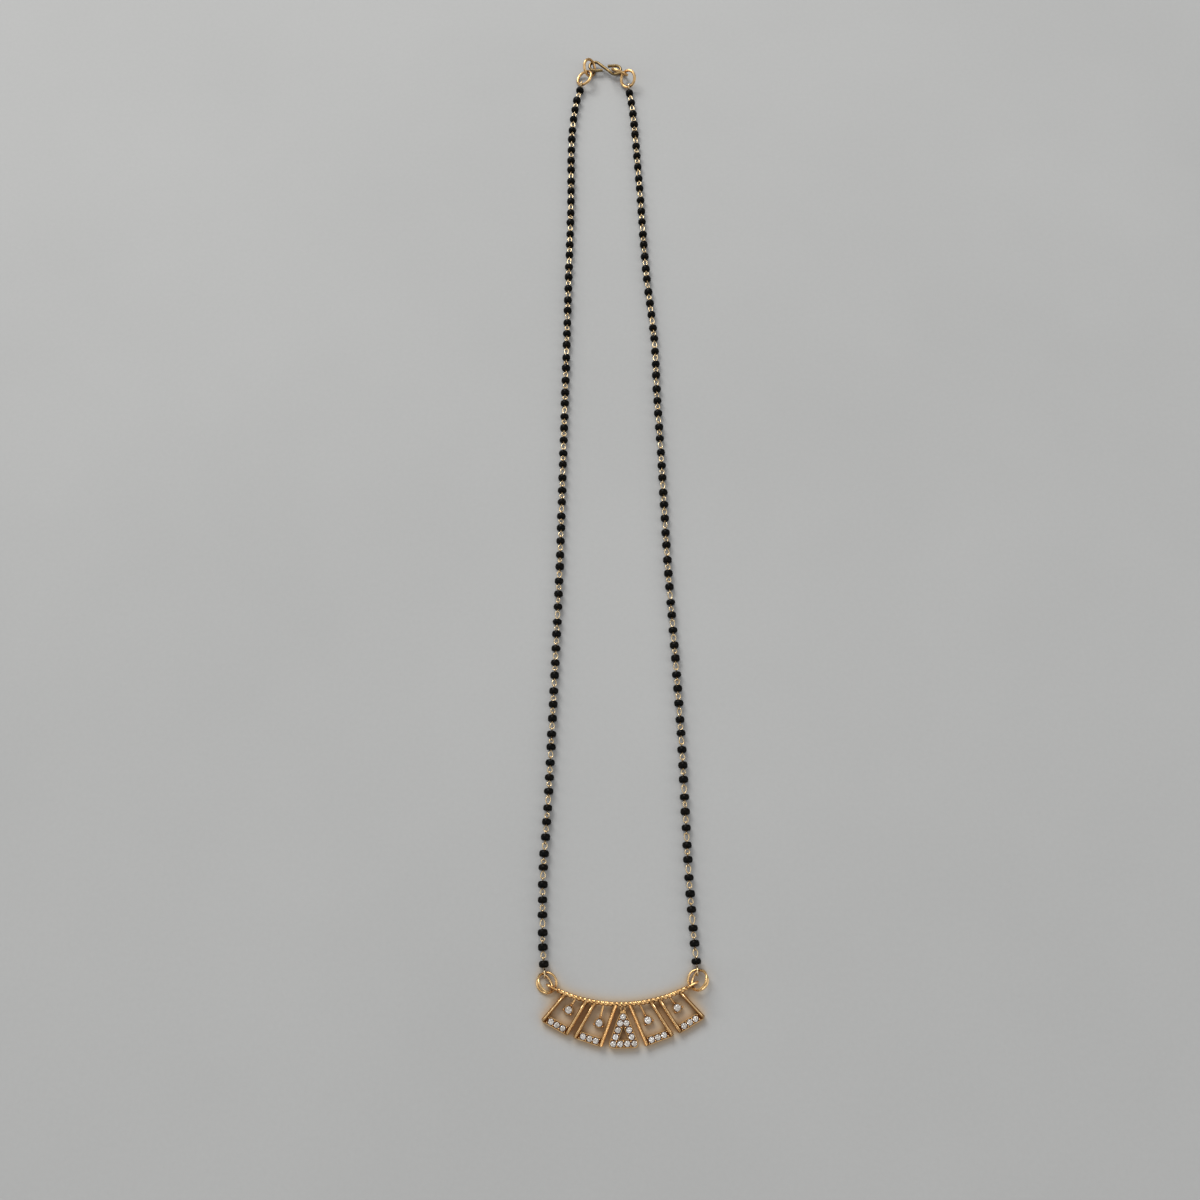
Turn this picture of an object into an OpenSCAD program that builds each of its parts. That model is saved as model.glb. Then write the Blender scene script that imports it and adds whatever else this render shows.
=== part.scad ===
// Mangalsutra: two strands of small black glass beads, joined in front by a cast pendant set
// with clear stones and behind by an S-hook. It lies flat on a surface, the pendant towards -Y
// and the hook towards +Y. All sizes are in millimetres.

/* [Pendant] */
// Radius of the rope arc, to the middle of the rope
arc_r = 34.5; // [33:0.5:36]
// Length of the rope along the arc
rope_l = 30.2; // [29.4:0.2:31]
// Thickness of the rope
rope_d = 1.1; // [1:0.05:1.2]
// Height of the rope's middle above the surface
rope_z = 1.25; // [1.1:0.05:1.4]
// Width of a side bar
bar_w = 0.78; // [0.6:0.02:0.86]
// Height of a side bar's ridge
bar_h = 1.95; // [1.85:0.05:2.2]
// Height of a side bar's upright faces
bar_side_h = 1.7; // [1.5:0.05:1.8]
// Height of the settings under the stones
seat_h = 1.1; // [0.9:0.05:1.15]
// Thickness of the rail round the settings
rail_w = 0.13; // [0.1:0.01:0.2]
// Height of the rail's edge above the settings
rail_h = 0.3; // [0.2:0.05:0.4]
// Thickness of the pin that carries a drop
pin_d = 0.5; // [0.4:0.05:0.6]

/* [Stones] */
// Diameter of a channel or triangle stone
stone_d = 1.3; // [1.1:0.05:1.35]
// Distance from stone to stone in a channel
channel_pitch = 1.5; // [1.5:0.02:1.56]
// Distance from stone to stone along the triangle's sides
triangle_pitch = 1.55; // [1.55:0.01:1.6]
// Diameter of a drop's stone
drop_stone_d = 1.55; // [1.4:0.05:1.7]
// Clearance between a stone and the metal beside it
stone_gap = 0.11; // [0.1:0.01:0.14]

/* [Rings and hook] */
// Outer diameter of a jump ring at the pendant
jump_ring_d = 5; // [4.9:0.05:5.2]
// Wire of a jump ring at the pendant
jump_wire = 0.5; // [0.4:0.02:0.54]
// Outer diameter of a ring at the clasp
clasp_ring_d = 5.4; // [5.2:0.05:5.6]
// Wire of a ring at the clasp
clasp_wire = 0.8; // [0.65:0.02:0.82]
// Wire of the S-hook
hook_wire = 0.85; // [0.7:0.02:0.88]
// Length of the S-hook over its two loops
hook_l = 10.2; // [9.9:0.1:10.6]
// Wire of the pendant's two end eyes
eye_wire = 0.5; // [0.4:0.02:0.54]

/* [Beads] */
// Diameter of a bead
bead_d = 2.3; // [2.1:0.05:2.5]
// Length of a bead
bead_l = 1.6; // [1.4:0.05:1.8]
// Diameter of a bead's hole
bead_bore = 0.95; // [0.8:0.05:1.1]
// Number of beads in the left strand
beads_left_n = 70; // [60:1:74]
// Number of beads in the right strand
beads_right_n = 66; // [58:1:70]
// Thickness of the chain wire
chain_wire = 0.45; // [0.4:0.05:0.5]
// Wire of the eyes at the ends of the chain
chain_eye_wire = 0.4; // [0.35:0.01:0.42]

/* [Hidden] */
$fn = 48;
gold = "#d99a5b";
pale_gold = "#dcb673";
brass = "#b59a4a";
black_glass = "#17181a";
clear_stone = "#e9eef2";

// The pendant is drawn about the low point of its arc, then turned and moved as it lies.
pendant_turn = 1.1;
pendant_x = -0.1;

// Places chosen by hand: each strand's way from the pendant to the clasp
LEFT_ROUTE = [[-18.2, 10], [-18.5, 18], [-18.5, 30], [-17.5, 48], [-16.5, 75], [-15.5, 105],
    [-15, 132], [-14.5, 158], [-14, 188], [-13.5, 215], [-13.5, 236], [-12.5, 249]];
RIGHT_ROUTE = [[16.5, 12], [15.5, 28], [15, 44], [14.5, 60], [13.5, 80], [12, 106],
    [11, 132], [10, 155], [9.5, 172], [7.5, 194], [6, 222], [4.5, 246]];

// Small maths
function flat(v, z) = [v[0], v[1], z];
function turned(p, a) = [p[0] * cos(a) - p[1] * sin(a), p[0] * sin(a) + p[1] * cos(a)];
function unit(v) = v / norm(v);
function heading(v) = atan2(v[1], v[0]);
function along(h) = [cos(h), sin(h)];
// Direction from a ring's middle to its wire, for a ring tipped by tilt and swung to az
function ring_dir(tilt, az, a) = [
    cos(tilt) * cos(az) * cos(a) - sin(az) * sin(a),
    cos(tilt) * sin(az) * cos(a) + cos(az) * sin(a),
    -sin(tilt) * cos(a)];

// The arc: a place on it from the distance along the rope, and from the distance across
function arc_angle(s) = s / arc_r * 180 / PI;
function arc_at(a) = [arc_r * sin(a), arc_r * (1 - cos(a))];
function arc_across(x) = arc_at(asin(x / arc_r));

// Rope of two strands laid round each other, with a ridge at every half turn
rope_ridges = 29;
rope_half = rope_l / 2;
rope_waist = 0.68;
rope_sides = 12;
rope_steps = 120;

// Oblong eye at either end of the rope, upright along the arc
eye_r = 0.9;
eye_half = 0.5;
eye_lift = 0.05;
eye_z = eye_r + eye_wire / 2 + eye_lift;
eye_s = rope_half + eye_half + eye_r;
function pendant_eye(side) =
    turned([side * arc_at(arc_angle(eye_s))[0], arc_at(arc_angle(eye_s))[1]], pendant_turn)
    + [pendant_x, 0];
function pendant_eye_heading(side) = side * arc_angle(eye_s) + pendant_turn;

// Side bars of the two panels of one half, the right one: where the bar leaves the rope across
// the pendant, how far it leans outwards, and how long it is down to its foot
//      across, lean, length
BARS = [[12.9, 42.5, 7.4], [8.2, 32.5, 8.15], [6.25, 32, 8.55], [1.55, 22.5, 9.3]];
function bar_dir(b) = [sin(b[1]), -cos(b[1])];
function bar_at(b, s) = arc_across(b[0]) + s * bar_dir(b);
function bar_foot(b) = bar_at(b, b[2]);
bar_sink = 0.2;
bar_over = 0.25;

// Channels of three stones between the feet of two bars. Their row lies above the line of the
// feet and a little nearer the middle.
//          outer bar, inner bar, row above the feet
CHANNELS = [[0, 1, 0.385], [2, 3, 0.52]];
channel_n = 3;
row_shift = -0.12;
channel_half_w = stone_d / 2 + stone_gap + rail_w;
function channel_out(c) = bar_foot(BARS[c[0]]);
function channel_in(c) = bar_foot(BARS[c[1]]);
function channel_dir(c) = unit(channel_out(c) - channel_in(c));
function channel_up(c) = turned(channel_dir(c), 90);
function channel_mid(c) = (channel_out(c) + channel_in(c)) / 2 + c[2] * channel_up(c);
function channel_stone(c, i) =
    channel_mid(c) + (row_shift + (i - (channel_n - 1) / 2) * channel_pitch) * channel_dir(c);

// Triangle of eleven stones: a row of four along the foot, three more up each side, one on top
apex = [0, -2.7];
triangle_lean = 21;
// Clearances of the top stone from the two below it, and of those two from each other
apex_gap = 0.23;
pair_gap = 0.107;
side_dir = [-sin(triangle_lean), cos(triangle_lean)];
side_top_x = (stone_d + pair_gap) / 2;
side_top = [side_top_x, apex[1] - sqrt(pow(stone_d + apex_gap, 2) - pow(side_top_x, 2))];
function side_stone(i) = side_top - (3 - i) * triangle_pitch * side_dir;
triangle_half_w = side_stone(0)[0];
triangle_y = side_stone(0)[1];
function mirrored(p) = [-p[0], p[1]];
SIDE = [for (i = [0:3]) side_stone(i)];
FOOT = [for (i = [1:2]) [triangle_half_w * (2 * i / 3 - 1), triangle_y]];
TRIANGLE = concat(SIDE, [apex], [for (i = [3:-1:0]) mirrored(SIDE[i])], FOOT);
// Points round a corner, on an arc about the stone that sits in it
corner_steps = 8;
function corner(c, r, a0, a1) =
    [for (k = [0:corner_steps]) c + r * along(a0 + (a1 - a0) * k / corner_steps)];
top_lean = heading(apex - SIDE[3]) - 90;
function triangle_outline(r) = concat(
    corner(SIDE[0], r, -90, triangle_lean),
    corner(SIDE[3], r, triangle_lean, top_lean),
    corner(apex, r, top_lean, 180 - top_lean),
    corner(mirrored(SIDE[3]), r, 180 - top_lean, 180 - triangle_lean),
    corner(mirrored(SIDE[0]), r, 180 - triangle_lean, 270));
triangle_edge = stone_d / 2 + stone_gap + rail_w;
// The open heart of the triangle, its edge at the distance r inside the stones' lines
heart_rail_w = 0.08;
heart_edge = stone_d / 2 + stone_gap + heart_rail_w;
heart_top_half_w = 0.15;
function heart_half_w(r, y) =
    triangle_half_w - (y - triangle_y) * tan(triangle_lean) - r / cos(triangle_lean);
function heart_top(r, half_w) =
    triangle_y + (triangle_half_w - r / cos(triangle_lean) - half_w) / tan(triangle_lean);
function heart_outline(r, half_w) = [
    [-heart_half_w(r, triangle_y + r), triangle_y + r],
    [heart_half_w(r, triangle_y + r), triangle_y + r],
    [half_w, heart_top(r, half_w)],
    [-half_w, heart_top(r, half_w)]];

// Drops in the four panels, from left to right: where the pin leaves the rope across the
// pendant, how far it leans outwards, and how far its stone lies from the rope
//       side, across, lean, length
DROPS = [[-1, 10.5, 34, 3.15], [-1, 4.3, 15.5, 4.3], [1, 3.7, 26.5, 4.15], [1, 10.5, 34, 3.15]];
function drop_top(d) = [d[0] * d[1], arc_across(d[1])[1]];
function drop_dir(d) = [d[0] * sin(d[2]), -cos(d[2])];
function drop_stone(d) = drop_top(d) + d[3] * drop_dir(d);
pin_z = 1.2;
pin_sink = 0.1;
basket_h = 0.65;
basket_z = 0.35;
basket_step = 0.08;
basket_bore_r = 0.39 * drop_stone_d;

// Stones sit with their widest edge at one height, under small ball-headed prongs.
stone_z = seat_h + 0.25;
seat_r = 0.42 * stone_d;
prong_r = 0.14;
prong_ball_r = 0.19;
prong_z = stone_z + 0.15;
prong_side = 0.515;
drop_prong_r = 0.17;
drop_prong_ball_r = 0.26;
drop_play = 0.07;
drop_prong_at = drop_stone_d / 2 + stone_gap + drop_play + drop_prong_r;

// Names of the stones with their places and sizes
PANELS = ["left_outer", "left_inner", "right_inner", "right_outer"];
PANEL_SIDE = [-1, -1, 1, 1];
PANEL_CHANNEL = [0, 1, 1, 0];
function panel_stone(p, i) = [PANEL_SIDE[p] * channel_stone(CHANNELS[PANEL_CHANNEL[p]], i)[0],
    channel_stone(CHANNELS[PANEL_CHANNEL[p]], i)[1]];
//        name, place, diameter, height
STONES = concat(
    [for (p = [0:3]) for (i = [0:channel_n - 1])
        [str("stone_", PANELS[p], "_", i + 1), panel_stone(p, i), stone_d, stone_z]],
    [for (i = [0:len(TRIANGLE) - 1])
        [str("stone_triangle_", i + 1), TRIANGLE[i], stone_d, stone_z]],
    [for (p = [0:3])
        [str("drop_stone_", PANELS[p]), drop_stone(DROPS[p]), drop_stone_d, stone_z]]);

// Eyes at the four ends of the chain wire stand upright on the surface.
chain_eye_r = (bead_d - chain_eye_wire) / 2;
bead_z = bead_d / 2;

// Jump rings at the pendant. The chain's eye stands beyond the pendant's, at a share of the
// ring's inner width, and each ring passes through both eyes.
jump_r = (jump_ring_d - jump_wire) / 2;
jump_inner_d = jump_ring_d - 2 * jump_wire;
//           side, chain eye's share, its direction, its heading
JUMP_ENDS = [[-1, 0.864, 121, 91.7], [1, 0.8, 68, 90]];
function jump_end(side) = JUMP_ENDS[side < 0 ? 0 : 1];
function front_eye(side) = pendant_eye(side)
    + jump_end(side)[1] * jump_inner_d * [cos(jump_end(side)[2]), sin(jump_end(side)[2])];
// Where each ring crosses the two eyes, as shares of their radius along and up, the lean of
// its plane, and whether its middle lies left or right of the way from chain to pendant
//         name, side, along chain eye, up, along pendant eye, up, lean, middle
JUMPS = [
    ["jump_ring_left_1", -1, 0.30, -0.27, -0.65, -0.29, 12, -1],
    ["jump_ring_left_2", -1, -0.22, 0.11, 0.01, -0.05, -59, -1],
    ["jump_ring_right_1", 1, 0.31, -0.27, -0.67, -0.27, 9, 1],
    ["jump_ring_right_2", 1, -0.15, 0.19, -0.02, 0.12, 53, 1]];
function in_chain_eye(j) = flat(front_eye(j[1]) + j[2] * chain_eye_r * along(jump_end(j[1])[3]),
    bead_z + j[3] * chain_eye_r);
function in_pendant_eye(j) =
    flat(pendant_eye(j[1]) + j[4] * eye_r * j[1] * along(pendant_eye_heading(j[1])),
    eye_z + j[5] * eye_r);
// Ring of radius r through the points p and q: its middle and its upright
function chord_side(p, q) = unit(cross([0, 0, 1], q - p));
function ring_slope(p, q, lean) = cos(lean) * chord_side(p, q)
    + sin(lean) * cross(unit(q - p), chord_side(p, q));
function ring_mid(p, q, r, lean, side) =
    (p + q) / 2 + side * sqrt(r * r - pow(norm(q - p) / 2, 2)) * ring_slope(p, q, lean);
function ring_up(p, q, lean) = cross(unit(q - p), ring_slope(p, q, lean));

// S-hook: two round loops joined by a slanting middle, their tips bent back
hook_place = [-3.7, 263.5];
hook_turn = -11.8;
hook_z = 1.37;
hook_r = 1.575;
hook_tip_turn = 107;
hook_tip_l = 2.13;
hook_loop = hook_l / 2 - hook_r - hook_wire / 2;
hook_slant = asin(hook_r / hook_loop);
function hook_loop_mid(side) = flat(hook_place + side * hook_loop * along(hook_turn), hook_z);

// Two rings at either side of the clasp. The first passes through the hook's loop, the second
// through the first, and the chain's last eye hangs on the second.
clasp_r = (clasp_ring_d - clasp_wire) / 2;
//          side, crossing in the loop, its direction, tilt, swing, where on the ring
FIRSTS = [[-1, 0.35, 125, 54.6, 336.5, 60.5], [1, 0.38, -145, 55.5, 65, 60.5]];
//          tilt, swing, where on the second, play in the first, where on the first,
//          where the eye hangs, its heading, how far it hangs off its middle
SECONDS = [[30.9, 174.5, 244.5, 0.17, -84, 68.5, 81.7, 0],
    [43.4, 218, 267, 0.3, -92.5, 49, 95.7, 0.12]];
function first_mid(i) = hook_loop_mid(FIRSTS[i][0]) + flat(FIRSTS[i][1] * along(FIRSTS[i][2]), 0)
    - clasp_r * ring_dir(FIRSTS[i][3], FIRSTS[i][4], FIRSTS[i][5]);
function second_in_first(i) = first_mid(i) + (clasp_r - clasp_wire - SECONDS[i][3])
    * ring_dir(FIRSTS[i][3], FIRSTS[i][4], SECONDS[i][4]);
function second_mid(i) = second_in_first(i)
    - clasp_r * ring_dir(SECONDS[i][0], SECONDS[i][1], SECONDS[i][2]);
function back_eye(i) =
    let (p = second_mid(i) + clasp_r * ring_dir(SECONDS[i][0], SECONDS[i][1], SECONDS[i][5]))
    [p[0], p[1]] - SECONDS[i][7] * along(SECONDS[i][6]);

// Each strand's line: straight out of the front eye, along its route, and into the back eye
function wire_start(side) = front_eye(side) + chain_eye_r * along(jump_end(side)[3]);
function wire_end(i) = back_eye(i) - chain_eye_r * along(SECONDS[i][6]);
LEFT_LINE = concat([wire_start(-1)], LEFT_ROUTE, [wire_end(0)]);
RIGHT_LINE = concat([wire_start(1)], RIGHT_ROUTE, [wire_end(1)]);
// A smooth curve through the points of a line, u counting from point to point
function line_point(line, k) = k < 0 ? 2 * line[0] - line[1]
    : k >= len(line) ? 2 * line[len(line) - 1] - line[len(line) - 2] : line[k];
function curve_at(line, u) =
    let (k = min(floor(u), len(line) - 2), t = u - k)
    let (a = line_point(line, k - 1), b = line[k], c = line[k + 1], d = line_point(line, k + 2))
    (2 * b + (c - a) * t + (2 * a - 5 * b + 4 * c - d) * t * t
        + (3 * b - 3 * c + d - a) * t * t * t) / 2;
line_steps = 10;
function fine_line(line) =
    [for (i = [0:(len(line) - 1) * line_steps]) curve_at(line, i / line_steps)];
LEFT_FINE = fine_line(LEFT_LINE);
RIGHT_FINE = fine_line(RIGHT_LINE);
// Distance along a line at each of its points, and the place at a distance along it
function step_length(line, i) = i < len(line) ? norm(line[i] - line[i - 1]) : 0;
function distances(line) =
    [for (i = 0, s = 0; i < len(line); i = i + 1, s = s + step_length(line, i)) s];
LEFT_DIST = distances(LEFT_FINE);
RIGHT_DIST = distances(RIGHT_FINE);
function line_index(dist, s, lo, hi) = hi - lo <= 1 ? lo
    : let (m = floor((lo + hi) / 2))
    dist[m] <= s ? line_index(dist, s, m, hi) : line_index(dist, s, lo, m);
function place_at(line, dist, s) =
    let (k = line_index(dist, s, 0, len(line) - 1))
    line[k] + (line[k + 1] - line[k]) * (s - dist[k]) / (dist[k + 1] - dist[k]);
function heading_at(line, dist, s) =
    let (k = line_index(dist, s, 0, len(line) - 1))
    heading(line[k + 1] - line[k]);

// Beads are spread evenly, each a little off its place as they lie.
bead_edge = 0.3;
bead_play = 0.2;
function bead_wander(i) = 0.06 * sin(137 * i);
function bead_s(i, n, length) =
    let (first = bead_l / 2 + bead_play + chain_eye_wire / 2)
    first + (length - 2 * first) * (i + (i > 0 && i < n - 1 ? bead_wander(i) : 0)) / (n - 1);

// The whole is drawn about the pendant and then moved, so that the middle of its outline on
// the surface is the origin.
front_y = triangle_y - triangle_edge;
back_y = first_mid(0)[1] + clasp_r + clasp_wire / 2;
mid_y = (front_y + back_y) / 2;

// Every other name: metal, beads and wire
JUMP_NAMES = [for (j = JUMPS) j[0]];
FIRST_NAMES = ["clasp_ring_left_1", "clasp_ring_right_1"];
SECOND_NAMES = ["clasp_ring_left_2", "clasp_ring_right_2"];
STONE_NAMES = [for (s = STONES) s[0]];

// Triangles of a closed tube of so many rings, each of so many points
function tube_faces(rings, sides) = concat(
    [[for (k = [0:sides - 1]) k]],
    [[for (k = [sides - 1:-1:0]) (rings - 1) * sides + k]],
    [for (i = [0:rings - 2]) for (k = [0:sides - 1])
        [i * sides + k, (i + 1) * sides + k, (i + 1) * sides + (k + 1) % sides]],
    [for (i = [0:rings - 2]) for (k = [0:sides - 1])
        [i * sides + k, (i + 1) * sides + (k + 1) % sides, i * sides + (k + 1) % sides]]);

module on_surface() {
    translate([0, -mid_y, 0]) children();
}

module as_pendant_lies() {
    on_surface() translate([pendant_x, 0, 0]) rotate(pendant_turn) children();
}

module at_rope(s, z) {
    translate([0, arc_r, z]) rotate(arc_angle(s) - 90) translate([arc_r, 0, 0]) children();
}

module rope() {
    points = [for (i = [0:rope_steps])
        let (a = arc_angle(rope_l * (i / rope_steps - 0.5)), c = arc_at(a))
        for (k = [0:rope_sides - 1])
            let (t = 360 * k / rope_sides)
            let (lobe = cos(2 * t - 360 * rope_ridges * i / rope_steps))
            let (r = rope_d / 2 * (1 + rope_waist + (1 - rope_waist) * lobe) / 2)
            flat(c + r * cos(t) * [-sin(a), cos(a)], rope_z + r * sin(t))];
    polyhedron(points, tube_faces(rope_steps + 1, rope_sides));
}

module half_ring(r, wire) {
    rotate(-90) rotate_extrude(angle = 180, $fn = 48) translate([r, 0]) circle(d = wire, $fn = 24);
}

module rod(d, l) {
    rotate([0, 90, 0]) cylinder(d = d, h = l, $fn = 24);
}

module oblong_eye() {
    rotate([90, 0, 0]) {
        translate([eye_half, 0, 0]) half_ring(eye_r, eye_wire);
        translate([-eye_half, 0, 0]) rotate(180) half_ring(eye_r, eye_wire);
        translate([-eye_half, eye_r, 0]) rod(eye_wire, 2 * eye_half);
        translate([-eye_half, -eye_r, 0]) rod(eye_wire, 2 * eye_half);
    }
}

module end_eye(side) {
    at_rope(side * eye_s, eye_z) rotate(90) oblong_eye();
}

// Roof-shaped side bar from the rope to its foot
module side_bar(b) {
    half_w = bar_w / 2;
    profile = [[-half_w, 0], [half_w, 0], [half_w, bar_side_h], [0, bar_h], [-half_w, bar_side_h]];
    translate(flat(bar_at(b, b[2] + bar_over), 0)) rotate(b[1])
        rotate([90, 0, 0]) translate([0, 0, -(b[2] + bar_over - bar_sink)])
            linear_extrude(b[2] + bar_over - bar_sink) polygon(profile);
}

module prong(post_r, ball_r) {
    foot_z = seat_h / 2;
    translate([0, 0, foot_z]) cylinder(r = post_r, h = prong_z - foot_z, $fn = 24);
    translate([0, 0, prong_z]) sphere(r = ball_r, $fn = 24);
}

// Channel with three seats, a rail along either side and prongs between the stones
module channel(c) {
    length = norm(channel_out(c) - channel_in(c));
    translate(flat(channel_mid(c), 0)) rotate(heading(channel_dir(c))) {
        difference() {
            union() {
                translate([-length / 2, -channel_half_w, 0]) cube([length, 2 * channel_half_w, seat_h]);
                for (side = [-1, 1])
                    translate([-length / 2, side * (channel_half_w - rail_w / 2) - rail_w / 2, 0])
                        cube([length, rail_w, seat_h + rail_h]);
            }
            for (i = [0:channel_n - 1])
                translate([row_shift + (i - (channel_n - 1) / 2) * channel_pitch, 0, -1])
                    cylinder(r = seat_r, h = seat_h + 2, $fn = 32);
        }
        for (i = [0:channel_n])
            for (side = [-1, 1])
                translate([row_shift + (i - channel_n / 2) * channel_pitch, side * prong_side, 0])
                    prong(prong_r, prong_ball_r);
    }
}

// Places midway between neighbouring stones of the triangle, to either side of their line
ROUND = concat(TRIANGLE, [SIDE[0]]);
MIDWAY = [for (i = [0:len(ROUND) - 2]) for (side = [-1, 1])
    (ROUND[i] + ROUND[i + 1]) / 2 + side * prong_side * turned(unit(ROUND[i + 1] - ROUND[i]), 90)];
function nearest(p, points) = min([for (q = points) norm(p - q)]);
TRIANGLE_PRONGS = [for (p = MIDWAY)
    if (nearest(p, TRIANGLE) > stone_d / 2 + prong_r + stone_gap) p];

module triangle_setting() {
    difference() {
        union() {
            linear_extrude(seat_h) polygon(triangle_outline(triangle_edge));
            difference() {
                linear_extrude(seat_h + rail_h) polygon(triangle_outline(triangle_edge));
                translate([0, 0, seat_h / 2]) linear_extrude(seat_h + rail_h)
                    polygon(triangle_outline(triangle_edge - rail_w));
            }
            linear_extrude(seat_h + rail_h) polygon(heart_outline(heart_edge - heart_rail_w,
                heart_top_half_w + heart_rail_w));
        }
        translate([0, 0, -1]) linear_extrude(seat_h + rail_h + 2)
            polygon(heart_outline(heart_edge, heart_top_half_w));
        for (p = TRIANGLE)
            translate(flat(p, -1)) cylinder(r = seat_r, h = seat_h + 2, $fn = 32);
    }
    for (p = TRIANGLE_PRONGS) translate(p) prong(prong_r, prong_ball_r);
}

// Small ring and collar that carry the triangle under the rope
collar_w = 1.2;
collar_l = 0.45;
collar_h = 1;
collar_z = 0.6;
collar_lap = 0.12;
small_ring_d = 1.3;
small_ring_wire = 0.3;
small_ring_y = -0.95;
module collar() {
    top = apex[1] + triangle_edge;
    translate([-collar_w / 2, top - collar_lap, collar_z]) cube([collar_w, collar_l, collar_h]);
    translate([0, small_ring_y, rope_z])
        rotate_extrude($fn = 36) translate([(small_ring_d - small_ring_wire) / 2, 0])
            circle(d = small_ring_wire, $fn = 24);
}

// Pin with a band, and a three-prong basket for the stone at its end
band_d = 0.7;
band_l = 0.25;
module drop(d) {
    translate(flat(drop_top(d), 0)) rotate(heading(drop_dir(d))) {
        translate([pin_sink, 0, pin_z]) rod(pin_d, d[3] - drop_prong_at - pin_sink);
        translate([d[3] - drop_prong_at - drop_prong_r - 2 * band_l, 0, pin_z]) rod(band_d, band_l);
        translate([d[3], 0, basket_z]) difference() {
            cylinder(r = drop_prong_at - basket_step, h = basket_h, $fn = 32);
            translate([0, 0, -1]) cylinder(r = basket_bore_r, h = basket_h + 2, $fn = 32);
        }
        for (a = [60, 180, 300])
            translate([d[3], 0, 0]) rotate(a) translate([drop_prong_at, 0, 0])
                prong(drop_prong_r, drop_prong_ball_r);
    }
}

// The rope and what hangs straight from it
module hangers() {
    rope();
    for (side = [-1, 1]) end_eye(side);
    for (b = BARS) side_bar(b);
    mirror([1, 0, 0]) for (b = BARS) side_bar(b);
    for (d = DROPS) drop(d);
    collar();
}

// What holds the small stones
module settings() {
    for (c = CHANNELS) channel(c);
    mirror([1, 0, 0]) for (c = CHANNELS) channel(c);
    triangle_setting();
}

module pendant_frame() {
    color(gold) as_pendant_lies() {
        hangers();
        settings();
    }
}

// Round brilliant: a table, eight stars, eight kites and sixteen facets above the girdle, and
// sixteen facets and eight kites below it
crown_share = 0.162;
pavilion_share = 0.43;
girdle_share = 0.03;
table_share = 0.56;
crown_mid_share = 0.8;
pavilion_mid_share = 0.28;
module brilliant(d) {
    r = d / 2;
    girdle = girdle_share * d;
    crown = crown_share * d;
    depth = pavilion_share * d;
    crown_mid_z = crown * (1 - crown_mid_share * cos(22.5)) / (1 - table_share);
    deep_mid_z = depth * (1 - pavilion_mid_share * cos(22.5));
    points = concat(
        [for (k = [0:7]) flat(table_share * r * along(45 * k), girdle / 2 + crown)],
        [for (k = [0:7]) flat(crown_mid_share * r * along(45 * k + 22.5), girdle / 2 + crown_mid_z)],
        [for (k = [0:15]) flat(r * along(22.5 * k), girdle / 2)],
        [for (k = [0:15]) flat(r * along(22.5 * k), -girdle / 2)],
        [for (k = [0:7]) flat(pavilion_mid_share * r * along(45 * k + 22.5), -girdle / 2 - deep_mid_z)],
        [[0, 0, -girdle / 2 - depth]]);
    faces = concat(
        [[for (k = [7:-1:0]) k]],
        [for (k = [0:7]) [k, (k + 1) % 8, 8 + k]],
        [for (k = [0:7]) [k, 8 + k, 16 + 2 * k, 8 + (k + 7) % 8]],
        [for (k = [0:7]) [8 + k, 17 + 2 * k, 16 + 2 * k]],
        [for (k = [0:7]) [8 + k, 16 + (2 * k + 2) % 16, 17 + 2 * k]],
        [for (k = [0:15]) [16 + k, 16 + (k + 1) % 16, 32 + (k + 1) % 16, 32 + k]],
        [for (k = [0:7]) [48 + k, 32 + 2 * k, 33 + 2 * k]],
        [for (k = [0:7]) [48 + k, 33 + 2 * k, 32 + (2 * k + 2) % 16]],
        [for (k = [0:7]) [56, 48 + (k + 7) % 8, 32 + 2 * k, 48 + k]]);
    polyhedron(points, faces);
}

module set_stone(s) {
    color(clear_stone) as_pendant_lies() translate(flat(s[1], s[3])) brilliant(s[2]);
}

module wire_ring(r, wire) {
    rotate_extrude($fn = 72) translate([r, 0]) circle(d = wire, $fn = 24);
}

module jump_ring(j) {
    p = in_chain_eye(j);
    q = in_pendant_eye(j);
    up = ring_up(p, q, j[6]);
    color(pale_gold) on_surface() translate(ring_mid(p, q, jump_r, j[6], j[7]))
        rotate([0, acos(up[2]), heading(up)]) wire_ring(jump_r, jump_wire);
}

module first_ring(i) {
    color(pale_gold) on_surface() translate(first_mid(i))
        rotate([0, FIRSTS[i][3], FIRSTS[i][4]]) wire_ring(clasp_r, clasp_wire);
}

module second_ring(i) {
    color(pale_gold) on_surface() translate(second_mid(i))
        rotate([0, SECONDS[i][0], SECONDS[i][1]]) wire_ring(clasp_r, clasp_wire);
}

// Wire of the hook where a straight stretch runs into a bend: a ball hardly thicker than the
// wire, over the two ends that stop just short of each other
bend_ball_d = hook_wire + 0.02;
bend_gap = 0.02;
module bend_ball() {
    sphere(d = bend_ball_d, $fn = 24);
}

module hook_half() {
    sweep = hook_tip_turn + 90 + hook_slant;
    translate([hook_loop, 0, 0]) {
        rotate(-90 - hook_slant) {
            rotate_extrude(angle = sweep, $fn = 48)
                translate([hook_r, 0]) circle(d = hook_wire, $fn = 24);
            translate([hook_r, 0, 0]) bend_ball();
        }
        rotate(hook_tip_turn) translate([hook_r, 0, 0]) rotate(90) {
            bend_ball();
            translate([bend_gap, 0, 0]) rod(hook_wire, hook_tip_l - bend_gap);
        }
    }
}

module s_hook() {
    half_middle = sqrt(pow(hook_loop, 2) - pow(hook_r, 2));
    color(brass) on_surface() translate(flat(hook_place, hook_z)) rotate(hook_turn) {
        hook_half();
        rotate(180) hook_half();
        rotate(-hook_slant) translate([bend_gap - half_middle, 0, 0])
            rod(hook_wire, 2 * (half_middle - bend_gap));
    }
}

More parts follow.
